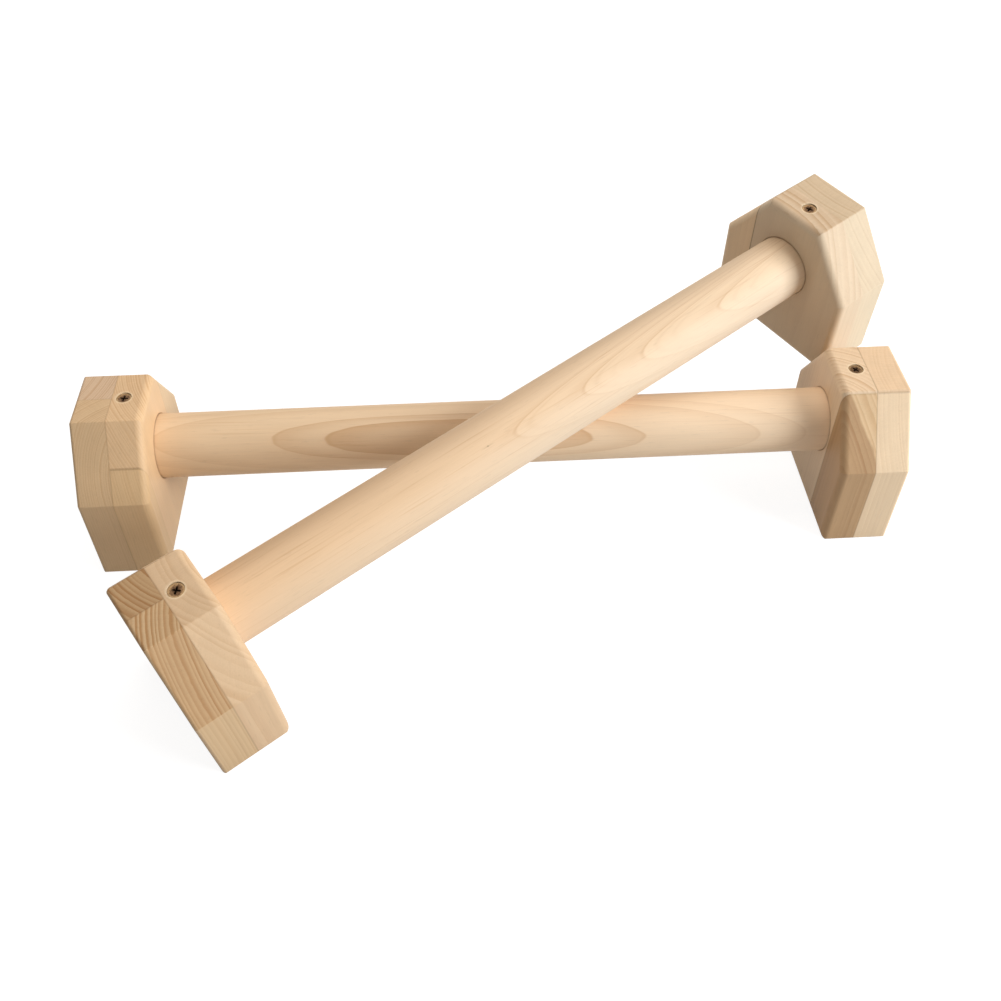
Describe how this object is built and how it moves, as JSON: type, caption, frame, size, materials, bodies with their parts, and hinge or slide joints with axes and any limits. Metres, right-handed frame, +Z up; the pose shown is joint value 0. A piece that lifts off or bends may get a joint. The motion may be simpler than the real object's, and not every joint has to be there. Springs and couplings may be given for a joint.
{
  "type": "pair of parallettes",
  "caption": "Wooden parallettes with round grips let into laminated foot blocks and pinned by screws, one bar laid across the other.",
  "frame": {"origin": "on the floor, under the middle of the bounding box of the pair as it lies", "axes": "+X along the lower bar's grip to its right block, +Y to the rear, where the upper bar's raised end is, +Z up from the floor"},
  "size_m": [0.5052, 0.3626, 0.1653],
  "materials": {
    "grip_wood": "sanded smooth, bare",
    "pale_stave": "sanded smooth, bare",
    "tan_stave": "sanded smooth, bare",
    "brown_stave": "sanded smooth, bare",
    "screw_metal": "antiqued, satin"
  },
  "bodies": {
    "lower_bar": {"lower_grip": "grip_wood", "lower_left_outer_front_stave": "tan_stave", "lower_left_outer_rear_stave": "tan_stave", "lower_left_inner_front_stave": "pale_stave", "lower_left_inner_middle_stave": "tan_stave", "lower_left_inner_rear_stave": "pale_stave", "lower_right_outer_front_stave": "pale_stave", "lower_right_outer_rear_stave": "pale_stave", "lower_right_inner_front_stave": "brown_stave", "lower_right_inner_rear_stave": "tan_stave", "lower_left_screw": "screw_metal", "lower_right_screw": "screw_metal"},
    "upper_bar": {"upper_grip": "grip_wood", "upper_left_outer_front_stave": "tan_stave", "upper_left_outer_rear_stave": "brown_stave", "upper_left_inner_front_stave": "pale_stave", "upper_left_inner_rear_stave": "pale_stave", "upper_right_outer_front_stave": "pale_stave", "upper_right_outer_rear_stave": "pale_stave", "upper_right_inner_front_stave": "pale_stave", "upper_right_inner_rear_stave": "tan_stave", "upper_left_screw": "screw_metal", "upper_right_screw": "screw_metal"}
  },
  "joints": [
    {"name": "upper_bar_lift", "type": "slide", "parent": "lower_bar", "child": "upper_bar", "axis": [0, 0, 1], "range_m": [0, 0.2]}
  ]
}
